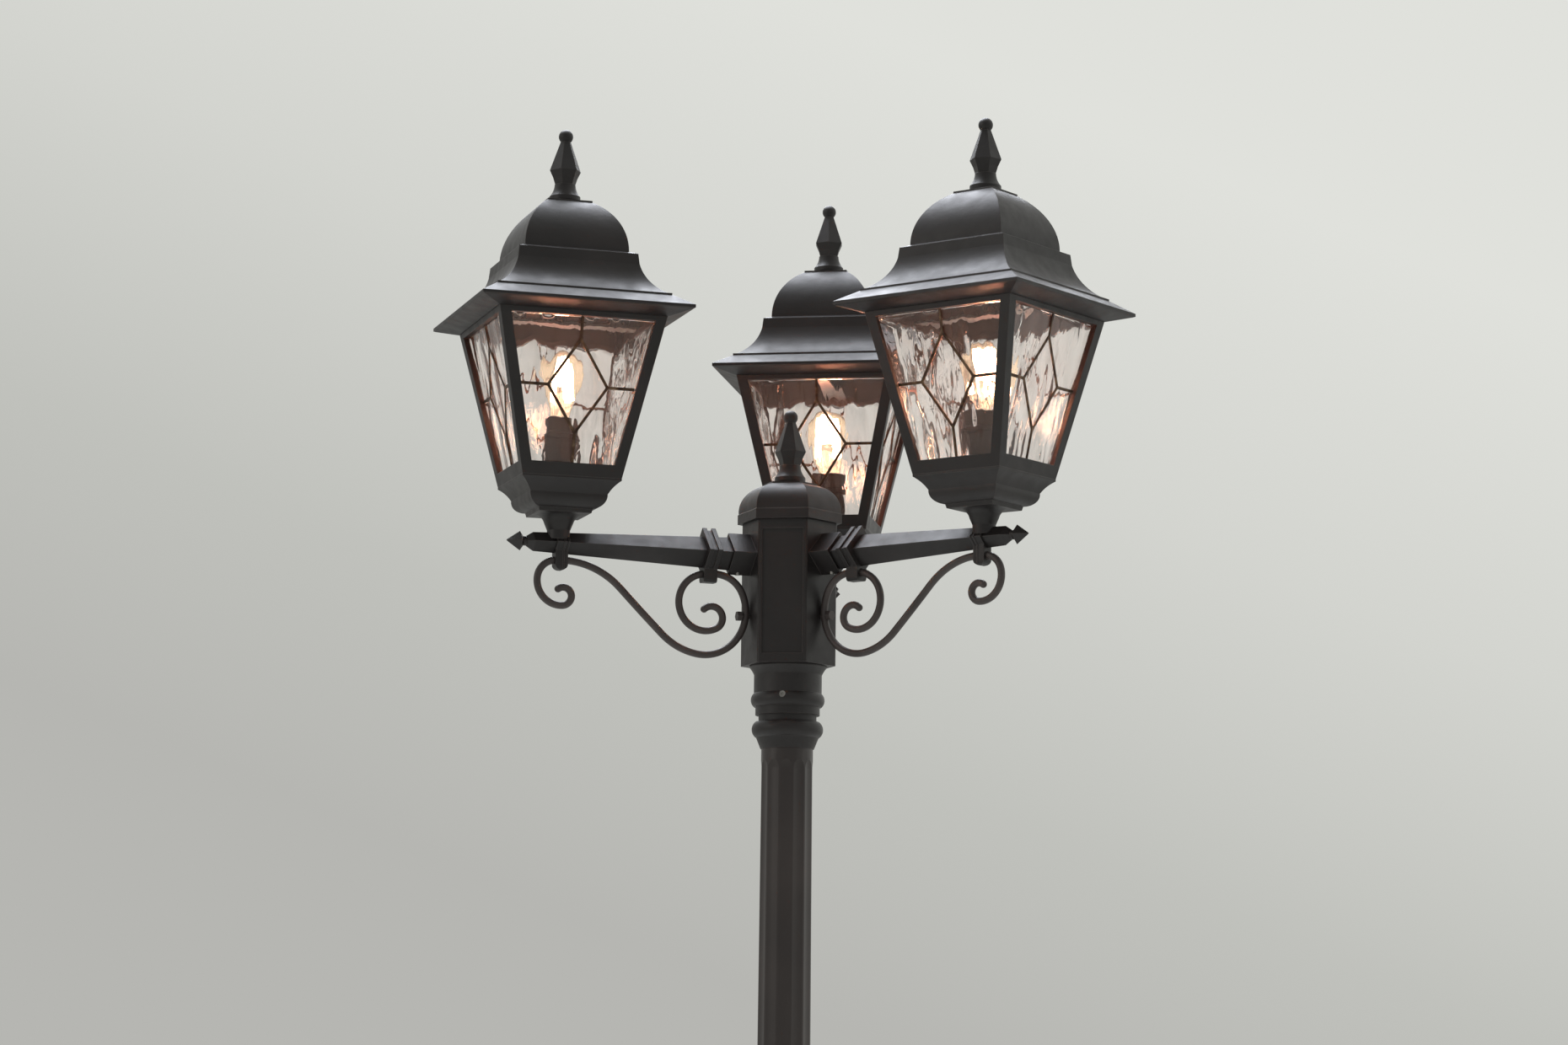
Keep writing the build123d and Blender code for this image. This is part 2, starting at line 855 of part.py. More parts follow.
def make_arm(side, bearing):
    """Diamond bar with a chamfered nose, bored for the wires and the lantern's nipple."""
    with BuildPart() as arm:
        with BuildSketch(across(bearing, arm_root, arm_height)):
            diamond(spigot_half)
        extrude(amount=sleeve_reach - arm_root)
        add(arm_wedge(bearing, sleeve_reach, arm_end))
        with BuildSketch(across(bearing, arm_end, arm_height)):
            diamond(arm_end_half)
        with BuildSketch(across(bearing, arm_nose, arm_height)):
            diamond(arm_nose_half)
        loft(ruled=True)
        with BuildSketch(across(bearing, arm_root, arm_height)):
            Circle(wire_bore_radius)
        extrude(amount=arm_reach + nipple_radius - arm_root, mode=Mode.SUBTRACT)
        with BuildSketch(across(bearing, arm_nose, arm_height)):
            Circle(tip_spigot_radius + fit_gap)
        extrude(amount=-tip_spigot_length - 1.0, mode=Mode.SUBTRACT)
        with BuildSketch(level(bearing, arm_reach, arm_height)):
            Circle(nipple_radius + fit_gap)
        extrude(amount=arm_root_half, mode=Mode.SUBTRACT)
    save(arm.part, f"{side}_arm")


def make_arm_tip(side, bearing):
    """Four-sided spear head on a round neck, with a spigot in the arm's end."""
    swell = arm_nose + tip_neck_length
    with BuildPart() as tip:
        with BuildSketch(across(bearing, arm_nose, arm_height)):
            Circle(tip_spigot_radius)
        extrude(amount=-tip_spigot_length)
        with BuildSketch(across(bearing, arm_nose, arm_height)):
            Circle(tip_neck_radius)
        extrude(amount=tip_neck_length)
        stations = ((swell, tip_neck_radius), (swell + tip_swell, tip_half), (swell + tip_swell + tip_length, tip_point_half))
        for near, far in zip(stations[:-1], stations[1:]):
            for reach, half in (near, far):
                with BuildSketch(across(bearing, reach, arm_height)):
                    diamond(half)
            loft(ruled=True)
    save(tip.part, f"{side}_arm_tip")


def make_scroll(side, bearing):
    """Bent bar with rounded ends and a hole for the bolt at the column."""
    with BuildPart() as scroll:
        add(scroll_bar(bearing, scroll_radius))
        plane = scroll_plane(bearing)
        for end in scroll_ends():
            with Locations(Location(plane) * Location((end[0], end[1], 0))):
                Sphere(scroll_radius)
        with BuildSketch(across(bearing, column_apothem, column_foot + scroll_bolt_height)):
            Circle(scroll_bolt_radius + fit_gap)
        extrude(amount=4 * scroll_radius, mode=Mode.SUBTRACT)
    save(scroll.part, f"{side}_scroll")


strap_start = strap_reach - strap_width / 2
strap_stations = (
    (strap_start, strap_width, strap_wall),
    (strap_start, strap_rib, strap_rib_wall),
    (strap_start + 2 * strap_rib, strap_rib, strap_rib_wall),
)


def strap_side(bearing):
    """Side outline of the strap, round at the bottom."""
    round_start = (strap_start, strap_bottom + strap_round)
    round_end = (strap_start + strap_width, strap_bottom + strap_round)
    head = arm_axis + arm_root_half
    with BuildSketch(scroll_plane(bearing)) as outline:
        with BuildLine():
            ThreePointArc(round_start, (strap_reach, strap_bottom), round_end)
            Polyline(round_end, (round_end[0], head), (round_start[0], head), round_start)
        make_face()
    return outline.sketch


def make_strap(bearing):
    """Strap under the lantern: two ribs and a flat band that close round the scroll."""
    strap_foot = strap_bottom - arm_axis
    with BuildPart() as strap:
        for start, length, wall in strap_stations:
            strap_outer = arm_half(strap_reach) + wall
            with BuildSketch(across(bearing, start, arm_height)):
                Polygon((strap_outer, 0), (-strap_outer, 0), (0, -strap_outer), align=None)
                with Locations((0, strap_foot / 2)):
                    RectangleRounded(2 * strap_half + wall - strap_wall, -strap_foot, strap_corner)
            extrude(amount=length)
        extrude(strap_side(bearing), amount=arm_root_half, both=True, mode=Mode.INTERSECT)
    return strap.part


def make_clips(side, bearing):
    """Double-rib band near the column and strap under the lantern, two solids."""
    clearance = scroll_bar(bearing, scroll_radius + fit_gap)
    band_length = 2 * clip_rib + clip_groove
    clip_start = clip_reach - band_length / 2
    rib_starts = (clip_start, clip_start + clip_rib + clip_groove)
    with BuildPart() as clips:
        for start in rib_starts:
            with BuildSketch(across(bearing, start, arm_height)):
                diamond(arm_half(clip_reach) + clip_rib_wall)
            extrude(amount=clip_rib)
        with BuildSketch(across(bearing, clip_start, arm_height)):
            diamond(arm_half(clip_reach) + clip_groove_wall)
        extrude(amount=band_length)
        clip_foot = clip_bottom - arm_axis
        with BuildSketch(across(bearing, clip_start, arm_height)):
            with Locations((0, clip_foot / 2)):
                Rectangle(2 * clip_half, -clip_foot)
        extrude(amount=band_length)
        along = Axis((0, 0, 0), heading(bearing))
        fillet(clips.edges().filter_by(along).group_by(Axis.Z)[0], clip_corner)
        add(make_strap(bearing))
        add(arm_wedge(bearing, sleeve_reach, arm_end, fit_gap), mode=Mode.SUBTRACT)
        add(clearance, mode=Mode.SUBTRACT)
    save(clips.part, f"{side}_scroll_clips")


for side, bearing in bearings.items():
    make_arm(side, bearing)
    make_arm_tip(side, bearing)
    make_scroll(side, bearing)
    make_clips(side, bearing)

with BuildPart() as scroll_bolts:
    for bearing in bearings.values():
        bolt_height = column_foot + scroll_bolt_height
        head_start = column_apothem + 2 * scroll_radius + scroll_bolt_washer
        with BuildSketch(across(bearing, column_apothem - column_wall, bolt_height)):
            Circle(scroll_bolt_radius)
        extrude(amount=head_start - column_apothem + column_wall)
        with BuildSketch(across(bearing, head_start, bolt_height)):
            RegularPolygon(scroll_bolt_head, 6)
        extrude(amount=scroll_bolt_head_length)

save(scroll_bolts.part, "scroll_bolts")


# ---------------------------------------------------------------- lanterns


def base_outline(plane):
    """Outline of the square moulded base."""
    with BuildSketch(plane) as outline:
        with BuildLine():
            Polyline((0, base_foot[1]), base_foot, base_bowl_foot)
            ThreePointArc(base_bowl_foot, base_bowl_middle, base_bowl_top)
            Line(base_bowl_top, base_cove_foot)
            ThreePointArc(base_cove_foot, base_cove_middle, (base_half, base_top - base_rim))
            Polyline((base_half, base_top - base_rim), (base_half, base_top), (0, base_top))
            mirror(about=Plane.YZ)
        make_face()
    return outline.sketch


def make_lantern_base(side, bearing):
    """Square moulded casting on a round stem that saddles the arm."""
    block = faceted(base_outline, lantern_planes(side))
    with BuildPart() as base:
        add(block)
        with BuildSketch(lantern_upright(side)):
            with BuildLine():
                Polyline((0, -stem_saddle), (stem_radius, -stem_saddle), (stem_radius, stem_flare_foot), stem_ring)
                ThreePointArc(stem_ring, stem_flare, stem_top)
                Polyline(stem_top, (0, stem_top[1]), (0, -stem_saddle))
            make_face()
        revolve(axis=Axis(lantern_centre(side), (0, 0, 1)))
        for start, length, wall in strap_stations:
            strap_outer = arm_half(strap_reach) + wall
            with BuildSketch(across(bearing, start, arm_height)):
                Polygon((strap_outer, fit_gap), (0, strap_outer + fit_gap), (-strap_outer, fit_gap), align=None)
            extrude(amount=length)
        add(arm_wedge(bearing, sleeve_reach, arm_end, fit_gap), mode=Mode.SUBTRACT)
        with Locations(lantern_level(side, base_top)):
            Hole(nipple_radius + fit_gap)
    save(base.part, f"{side}_lantern_base")


def taper_outline(plane, inset, low, high):
    """Outline of the cage's taper between two heights, moved in from its faces."""
    with BuildSketch(plane) as outline:
        Polygon(
            (cage_half(low) - inset, low),
            (cage_half(high) - inset, high),
            (inset - cage_half(high), high),
            (inset - cage_half(low), low),
            align=None,
        )
    return outline.sketch


def make_cage(side):
    """Four corner posts with top and bottom rails, one casting."""
    planes = lantern_planes(side)
    header = cage_top - cage_header
    with BuildPart() as cage:
        add(faceted(lambda plane: taper_outline(plane, 0.0, base_top, cage_top), planes))
        add(faceted(lambda plane: taper_outline(plane, cage_wall, base_top, header), planes), mode=Mode.SUBTRACT)
        for plane in planes:
            extrude(
                taper_outline(plane, post_width, rail_top, header),
                amount=2 * cage_top_half,
                both=True,
                mode=Mode.SUBTRACT,
            )
        with BuildSketch(lantern_level(side, header)):
            Rectangle(2 * cage_opening, 2 * cage_opening)
        extrude(amount=cage_header, mode=Mode.SUBTRACT)
    save(cage.part, f"{side}_cage")


def face_sheet(plane, inset, thickness, low, high):
    """Section of a sheet that lies behind one leaning face of the cage."""
    with BuildSketch(plane) as section:
        Polygon(
            (cage_half(low) - inset - thickness, low),
            (cage_half(low) - inset, low),
            (cage_half(high) - inset, high),
            (cage_half(high) - inset - thickness, high),
            align=None,
        )
    return section.sketch


def make_panes(side):
    """Four flat panes of textured glass, one solid each."""
    low = base_top
    high = cage_top - cage_header - seat_gap
    panes = []
    for quarter in range(4):
        with BuildPart() as pane:
            sheet = face_sheet(lantern_upright(side, quarter), cage_wall, glass_thickness, low, high)
            extrude(sheet, amount=cage_top_half, both=True)
            front = taper_outline(lantern_upright(side, quarter + 1), glass_margin, low, high)
            extrude(front, amount=2 * cage_top_half, both=True, mode=Mode.INTERSECT)
        panes.append(pane.part)
    save(Compound(children=panes), f"{side}_glass_panes")


def lead_pattern(plane):
    """Centre diamond and the bars that run from its corners to the frame."""
    middle = (diamond_foot + diamond_head) / 2
    low = rail_top + seat_gap
    high = cage_top - cage_header - seat_gap
    edge = cage_half(middle - lead_width / 2) - post_width - seat_gap
    rise = (diamond_head - diamond_foot) / 2
    strip = lead_width / 2 * sqrt(diamond_half**2 + rise**2)
    with BuildSketch(plane) as pattern:
        with Locations((0, middle)):
            for swell, mode in ((strip, Mode.ADD), (-strip, Mode.SUBTRACT)):
                wide = diamond_half + swell / rise
                tall = rise + swell / diamond_half
                Polygon((wide, 0), (0, tall), (-wide, 0), (0, -tall), align=None, mode=mode)
        for way in (-1, 1):
            with Locations((way * (edge + diamond_half) / 2, middle)):
                Rectangle(edge - diamond_half, lead_width)
        with Locations((0, (low + diamond_foot) / 2)):
            Rectangle(lead_width, diamond_foot - low)
        with Locations((0, (high + diamond_head) / 2)):
            Rectangle(lead_width, high - diamond_head)
    return pattern.sketch


def make_leading(side):
    """Four lead grids, each lying on the outer face of its pane."""
    inset = cage_wall - lead_thickness
    grids = []
    for quarter in range(4):
        with BuildPart() as grid:
            sheet = face_sheet(lantern_upright(side, quarter), inset, lead_thickness, rail_top, cage_top - cage_header)
            extrude(sheet, amount=cage_top_half, both=True)
            front = lead_pattern(lantern_upright(side, quarter + 1))
            extrude(front, amount=2 * cage_top_half, both=True, mode=Mode.INTERSECT)
        grids.append(grid.part)
    save(Compound(children=grids), f"{side}_leading")


dome_centre_half = dome_foot_half - dome_radius


def roof_dome(radius):
    """Turn and height at which a dome curve of this radius reaches the crown."""
    turn = degrees(acos((dome_crown_half - dome_centre_half) / radius))
    return turn, dome_foot + radius * sin(radians(turn))


def roof_outline(plane):
    """Outline of the roof's outside: brim, bead, skirt, ledge, dome and crown."""
    turn, head = roof_dome(dome_radius)
    with BuildSketch(plane) as outline:
        with BuildLine():
            Polyline(
                (0, cage_top),
                (roof_seat_half, cage_top),
                (lip_inner_half, lip_foot),
                (brim_half, lip_foot + 1.0),
                (brim_half, lip_top),
                (bead_half, bead_foot),
                (bead_half, bead_foot + bead_height),
                (skirt_foot_half, bead_foot + bead_height),
            )
            ThreePointArc((skirt_foot_half, bead_foot + bead_height), skirt_middle, (skirt_top_half, skirt_top))
            Polyline((skirt_top_half, skirt_top), (ledge_half, ledge_top), (dome_foot_half, dome_foot))
            CenterArc((dome_centre_half, dome_foot), dome_radius, 0.0, turn)
            Polyline((dome_crown_half, head), (dome_crown_half, crown_top), (0, crown_top))
            mirror(about=Plane.YZ)
        make_face()
    return outline.sketch


def roof_hollow_outline(plane):
    """Outline of the roof's inside, one wall in from the outside."""
    turn, head = roof_dome(dome_radius - roof_wall)
    knee = (roof_opening, bead_foot + bead_height)
    with BuildSketch(plane) as outline:
        with BuildLine():
            Polyline((0, cage_top - 1.0), (roof_opening, cage_top - 1.0), knee)
            ThreePointArc(
                knee,
                (skirt_middle[0] - roof_wall, skirt_middle[1] - roof_wall / 2),
                (skirt_top_half - roof_wall, skirt_top),
            )
            Polyline(
                (skirt_top_half - roof_wall, skirt_top),
                (ledge_half - roof_wall, ledge_top - roof_wall),
                (dome_foot_half - roof_wall, dome_foot),
            )
            CenterArc((dome_centre_half, dome_foot), dome_radius - roof_wall, 0.0, turn)
            Line((dome_crown_half, head), (0, head))
            mirror(about=Plane.YZ)
        make_face()
    return outline.sketch


def make_roof(side):
    """Square ogee roof, a cast shell open underneath."""
    planes = lantern_planes(side)
    outside = faceted(roof_outline, planes)
    inside = faceted(roof_hollow_outline, planes)
    with BuildPart() as roof:
        add(outside)
        add(inside, mode=Mode.SUBTRACT)
        with Locations(lantern_level(side, crown_top)):
            Hole(stud_radius + stud_hole_gap, depth=crown_top - cage_top)
    save(roof.part, f"{side}_roof")


def make_lamp(side):
    """Stem nipple, lampholder, bulb cap and glass, all round the lantern axis."""
    axis = Axis(lantern_centre(side), (0, 0, 1))
    foot = lantern_level(side, 0.0)
    side_plane = lantern_upright(side)
    bore_floor = holder_top - holder_bore_depth
    nipple_top = base_top + 14.0
    with BuildPart() as nipple:
        with BuildSketch(foot.offset(-arm_half(arm_reach) + wire_bore_radius + 0.5)):
            Circle(nipple_radius)
            Circle(nipple_bore, mode=Mode.SUBTRACT)
        extrude(amount=nipple_top + arm_half(arm_reach) - wire_bore_radius - 0.5)
    save(nipple.part, f"{side}_stem_nipple")

    with BuildPart() as holder:
        with BuildSketch(side_plane):
            with BuildLine():
                Polyline(
                    (0, base_top),
                    (holder_radius - 3.0, base_top),
                    (holder_radius, base_top + 6.0),
                    (holder_radius, holder_skirt),
                    (holder_collar_radius, holder_skirt + 1.5),
                    (holder_collar_radius, holder_skirt + 6.0),
                    (holder_radius, holder_skirt + 7.5),
                    (holder_radius, holder_top),
                    (0, holder_top),
                    (0, base_top),
                )
            make_face()
        revolve(axis=axis)
        with BuildSketch(foot.offset(bore_floor)):
            Circle(cap_radius + seat_gap)
        extrude(amount=holder_bore_depth, mode=Mode.SUBTRACT)
        with BuildSketch(foot.offset(base_top)):
            Circle(nipple_radius + fit_gap)
        extrude(amount=nipple_top - base_top + 1.0, mode=Mode.SUBTRACT)
    save(holder.part, f"{side}_lampholder")

    cap_foot = holder_top - bulb_cap_length
    with BuildPart() as bulb_cap:
        with BuildSketch(foot.offset(cap_foot)):
            Circle(cap_radius)
        extrude(amount=bulb_cap_length)
        with BuildSketch(foot.offset(cap_foot)):
            Circle(bulb_contact_radius)
        extrude(amount=-bulb_contact_length)
    save(bulb_cap.part, f"{side}_bulb_cap")

    with BuildPart() as bulb:
        for shrink, mode in ((0.0, Mode.ADD), (bulb_wall, Mode.SUBTRACT)):
            ball = bulb_radius - shrink
            neck = bulb_neck_radius - shrink
            shoulder_reach = ball * cos(radians(bulb_shoulder))
            shoulder_rise = bulb_centre - ball * sin(radians(bulb_shoulder))
            with BuildSketch(side_plane):
                with BuildLine():
                    Polyline(
                        (0, holder_top + 2 * shrink),
                        (neck - 1.5, holder_top + 2 * shrink),
                        (neck, holder_top + 8.0),
                        (shoulder_reach, shoulder_rise),
                    )
                    CenterArc((0, bulb_centre), ball, -bulb_shoulder, 90.0 + bulb_shoulder)
                    Line((0, bulb_centre + ball), (0, holder_top + 2 * shrink))
                make_face()
            revolve(axis=axis, mode=mode)
    save(bulb.part, f"{side}_bulb_glass")


for side, bearing in bearings.items():
    make_lantern_base(side, bearing)
    make_cage(side)
    make_panes(side)
    make_leading(side)
    make_roof(side)
    make_lamp(side)
    make_bridge(
        f"{side}_roof_bridge",
        lantern_level(side, cage_top),
        roof_opening - bridge_end_gap,
        crown_top - cage_top + stud_engagement,
    )
    make_finial(f"{side}_finial", lantern_level(side, crown_top), finial_turns[side])
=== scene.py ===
import math

import bmesh
import bpy
from mathutils import Matrix, Vector, noise


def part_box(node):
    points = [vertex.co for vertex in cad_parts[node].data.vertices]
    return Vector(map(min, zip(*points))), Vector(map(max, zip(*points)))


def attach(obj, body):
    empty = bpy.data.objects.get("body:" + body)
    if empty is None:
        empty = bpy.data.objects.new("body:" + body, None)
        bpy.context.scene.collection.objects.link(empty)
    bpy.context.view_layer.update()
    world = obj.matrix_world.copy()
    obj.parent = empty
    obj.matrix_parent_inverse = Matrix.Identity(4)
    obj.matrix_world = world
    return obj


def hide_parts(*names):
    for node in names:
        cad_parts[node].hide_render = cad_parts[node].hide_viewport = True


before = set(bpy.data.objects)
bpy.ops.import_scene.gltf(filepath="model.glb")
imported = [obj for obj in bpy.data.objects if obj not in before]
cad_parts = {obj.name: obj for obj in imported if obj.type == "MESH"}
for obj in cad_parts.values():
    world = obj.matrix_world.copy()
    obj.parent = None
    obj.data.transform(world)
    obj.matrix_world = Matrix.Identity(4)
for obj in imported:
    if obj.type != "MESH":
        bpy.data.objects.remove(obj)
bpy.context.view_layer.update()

sides = ("left", "right", "rear")


# ---------------------------------------------------------------- camera

# The camera stands about five metres off with a long lens, a metre above the ground and a little
# right of the front, and looks up at the lanterns.

picture_width = 1860.0
focal_pixels = 4882.0
sensor_width = 36.0
camera_place = Vector((0.7848, -4.8186, 1.0186))
look_right = Vector((0.98698, 0.16049, 0.01095))
look_up = Vector((0.01295, -0.14713, 0.98903))
look_back = Vector((0.16034, -0.97601, -0.14729))

camera = bpy.data.objects.new("camera", bpy.data.cameras.new("camera"))
bpy.context.scene.collection.objects.link(camera)
camera.data.sensor_width = sensor_width
camera.data.lens = sensor_width * focal_pixels / picture_width
camera.data.clip_end = 60.0
camera.matrix_world = Matrix((
    (look_right.x, look_up.x, look_back.x, camera_place.x),
    (look_right.y, look_up.y, look_back.y, camera_place.y),
    (look_right.z, look_up.z, look_back.z, camera_place.z),
    (0.0, 0.0, 0.0, 1.0),
))
bpy.context.scene.camera = camera


# ---------------------------------------------------------------- helpers

weld_distance = 1e-6
flat_angle = math.radians(1.0)


def linear(colour):
    """Linear RGBA of an sRGB hex colour."""
    values = [int(colour[place:place + 2], 16) / 255.0 for place in (1, 3, 5)]
    return [v / 12.92 if v <= 0.04045 else ((v + 0.055) / 1.055) ** 2.4 for v in values] + [1.0]


def add(tree, kind, inputs=None, **settings):
    """Adds a node; an input is given a value, or a link as (node, output name)."""
    made = tree.nodes.new(kind)
    for key, value in settings.items():
        setattr(made, key, value)
    for name, value in (inputs or {}).items():
        if isinstance(value, tuple) and len(value) == 2 and isinstance(value[0], bpy.types.Node):
            tree.links.new(value[0].outputs[value[1]], made.inputs[name])
        else:
            made.inputs[name].default_value = value
    return made


def blend_stops(ramp, stops):
    """Sets a colour ramp's stops from (place, hex colour) pairs."""
    elements = ramp.color_ramp.elements
    while len(elements) < len(stops):
        elements.new(0.5)
    for element, (place, colour) in zip(elements, stops):
        element.position = place
        element.color = linear(colour)


def new_material(name):
    """Makes a material with an empty node tree, and returns both."""
    made = bpy.data.materials.new(name)
    made.use_nodes = True
    made.node_tree.nodes.clear()
    return made, made.node_tree


def coat(pieces, material):
    """Gives each named CAD piece one material."""
    for piece in pieces:
        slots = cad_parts[piece].data.materials
        slots.clear()
        slots.append(material)


def pass_light(tree, glass, colour):
    """Lets light go straight through a glass shader, so that the glass casts no dark shadow."""
    clear = add(tree, "ShaderNodeBsdfTransparent", {"Color": linear(colour)})
    ray = add(tree, "ShaderNodeLightPath")
    return add(tree, "ShaderNodeMixShader", {
        0: (ray, "Is Shadow Ray"), 1: (glass, "BSDF"), 2: (clear, "BSDF")})


def welded(shell):
    """Mesh of a CAD piece with its points joined and its flat faces merged."""
    mesh = bmesh.new()
    mesh.from_mesh(shell.data)
    bmesh.ops.remove_doubles(mesh, verts=mesh.verts, dist=weld_distance)
    bmesh.ops.dissolve_limit(mesh, angle_limit=flat_angle, verts=mesh.verts, edges=mesh.edges)
    return mesh


def new_piece(name, mesh, material):
    """Turns a bmesh into a smooth object of one material."""
    made = bpy.data.meshes.new(name)
    mesh.to_mesh(made)
    mesh.free()
    made.materials.append(material)
    made.shade_smooth()
    piece = bpy.data.objects.new(name, made)
    bpy.context.scene.collection.objects.link(piece)
    return piece


def lamp_top(side):
    """Middle of the top of a lantern's lamp, as x, y and z."""
    low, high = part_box(f"{side}_bulb_glass")
    return (low[0] + high[0]) / 2, (low[1] + high[1]) / 2, high[2]


# ---------------------------------------------------------------- castings

# Roofs, finials, cages, lantern bases, arms, head column, cap, collar, pedestal and base plate are
# die and sand castings in aluminium. They are blasted, then powder coated in satin black that reads
# as a warm dark grey outdoors.

casting_pieces = [f"{side}_{piece}" for side in sides for piece in (
    "roof", "finial", "cage", "lantern_base", "arm", "arm_tip", "scroll_clips")]
casting_pieces += ["head_column", "column_cap", "cap_finial", "post_collar", "pedestal", "base_plate"]

# Powder coat: a baked polyester film about 80 microns thick. It has a fine orange peel with cells of
# about 1.5 mm, a soft satin reflection, and thins to a slightly paler line on sharp edges.

powder_coat, tree = new_material("satin_powder_coat_on_cast_aluminium")
place = add(tree, "ShaderNodeTexCoord")
clouds = add(tree, "ShaderNodeTexNoise", {"Vector": (place, "Object"), "Scale": 14.0, "Detail": 4.0})
tint = add(tree, "ShaderNodeValToRGB", {"Fac": (clouds, "Fac")})
blend_stops(tint, [(0.30, "#1b1818"), (0.52, "#221e1e"), (0.75, "#2a2525")])
soft_edge = add(tree, "ShaderNodeBevel", {"Radius": 0.0011}, samples=6)
shape = add(tree, "ShaderNodeNewGeometry")
edge = add(tree, "ShaderNodeVectorMath", {
    0: (soft_edge, "Normal"), 1: (shape, "Normal")}, operation="DOT_PRODUCT")
rub = add(tree, "ShaderNodeMapRange", {"Value": (edge, "Value"), "From Min": 0.985, "From Max": 0.90})
worn = add(tree, "ShaderNodeMixRGB", {
    "Fac": (rub, "Result"), "Color1": (tint, "Color"), "Color2": linear("#4b4543")})
peel = add(tree, "ShaderNodeTexNoise", {"Vector": (place, "Object"), "Scale": 700.0, "Detail": 2.0})
cast = add(tree, "ShaderNodeTexNoise", {"Vector": (place, "Object"), "Scale": 60.0, "Detail": 3.0})
peel_bump = add(tree, "ShaderNodeBump", {
    "Height": (peel, "Fac"), "Strength": 0.16, "Distance": 0.0004, "Normal": (soft_edge, "Normal")})
cast_bump = add(tree, "ShaderNodeBump", {
    "Height": (cast, "Fac"), "Strength": 0.22, "Distance": 0.0015, "Normal": (peel_bump, "Normal")})
gloss = add(tree, "ShaderNodeMapRange", {
    "Value": (cast, "Fac"), "From Min": 0.3, "From Max": 0.7, "To Min": 0.42, "To Max": 0.53})
surface = add(tree, "ShaderNodeBsdfPrincipled", {
    "Base Color": (worn, "Color"), "Roughness": (gloss, "Result"), "IOR": 1.52,
    "Specular IOR Level": 0.5, "Normal": (cast_bump, "Normal")})
add(tree, "ShaderNodeOutputMaterial", {"Surface": (surface, "BSDF")})

coat(casting_pieces, powder_coat)


# ---------------------------------------------------------------- post tube

# The post is a drawn aluminium tube, fluted and tapered by rolling, in the same powder coat. Drawing
# leaves faint lines along it, and it has no casting grain.

drawn_coat, tree = new_material("satin_powder_coat_on_drawn_tube")
place = add(tree, "ShaderNodeTexCoord")
along = add(tree, "ShaderNodeMapping", {"Vector": (place, "Object"), "Scale": (1.0, 1.0, 0.04)})
lines = add(tree, "ShaderNodeTexNoise", {"Vector": (along, "Vector"), "Scale": 260.0, "Detail": 3.0})
clouds = add(tree, "ShaderNodeTexNoise", {"Vector": (place, "Object"), "Scale": 9.0, "Detail": 3.0})
# The tube's base colour is painted paler than the castings' coat: painted light, standing in for the light
# that falls on the round tube.
tint = add(tree, "ShaderNodeValToRGB", {"Fac": (clouds, "Fac")})
blend_stops(tint, [(0.30, "#312b2a"), (0.55, "#3a3331"), (0.80, "#433b39")])
line_bump = add(tree, "ShaderNodeBump", {"Height": (lines, "Fac"), "Strength": 0.10, "Distance": 0.0005})
surface = add(tree, "ShaderNodeBsdfPrincipled", {
    "Base Color": (tint, "Color"), "Roughness": 0.40, "IOR": 1.52,
    "Specular IOR Level": 0.5, "Normal": (line_bump, "Normal")})
add(tree, "ShaderNodeOutputMaterial", {"Surface": (surface, "BSDF")})

coat(["post_tube"], drawn_coat)


# ---------------------------------------------------------------- scrolls

# Each scroll is a round mild steel bar bent cold round formers. The bending leaves slight flats, and
# the black coat over them is a little duller than on the castings. Its colour is painted paler than the
# castings' coat, as painted light.

bent_bar, tree = new_material("black_coat_on_bent_steel_bar")
place = add(tree, "ShaderNodeTexCoord")
flats = add(tree, "ShaderNodeTexVoronoi", {"Vector": (place, "Object"), "Scale": 90.0}, feature="SMOOTH_F1")
clouds = add(tree, "ShaderNodeTexNoise", {"Vector": (place, "Object"), "Scale": 24.0, "Detail": 4.0})
# The bars' base colour is painted paler than the castings' coat: painted light, standing in for the light
# that the round bars catch.
tint = add(tree, "ShaderNodeValToRGB", {"Fac": (clouds, "Fac")})
blend_stops(tint, [(0.30, "#383130"), (0.55, "#453d3b"), (0.80, "#524846")])
flat_bump = add(tree, "ShaderNodeBump", {"Height": (flats, "Distance"), "Strength": 0.25, "Distance": 0.0012})
surface = add(tree, "ShaderNodeBsdfPrincipled", {
    "Base Color": (tint, "Color"), "Roughness": 0.48, "IOR": 1.52,
    "Specular IOR Level": 0.55, "Normal": (flat_bump, "Normal")})
add(tree, "ShaderNodeOutputMaterial", {"Surface": (surface, "BSDF")})

coat([f"{side}_scroll" for side in sides] + ["scroll_bolts"], bent_bar)


# ---------------------------------------------------------------- glass panes

# The four panes of each lantern are rolled clear soda-lime glass with a water texture: long shallow
# waves that run down the pane and bend what lies behind it, with finer waves between them. The waves
# are in the mesh, deep on the inner face and slight on the outer, which carries the leading. A trace
# of dust on the glass scatters a little of the lamp's light.

wave_height = 0.0026
outer_share = 0.15
wave_across = 0.022
wave_along = 0.075
fine_height = 0.30
fine_across = 2.7
fine_along = 2.2
fine_seed = 7.0
pane_seeds = (9.0, 5.0)
pane_cuts = 60
pane_edge_least = 0.05
corner_area = 1e-7
flat_cosine = 0.99
pane_crease = math.radians(40.0)
dust_share = 0.012

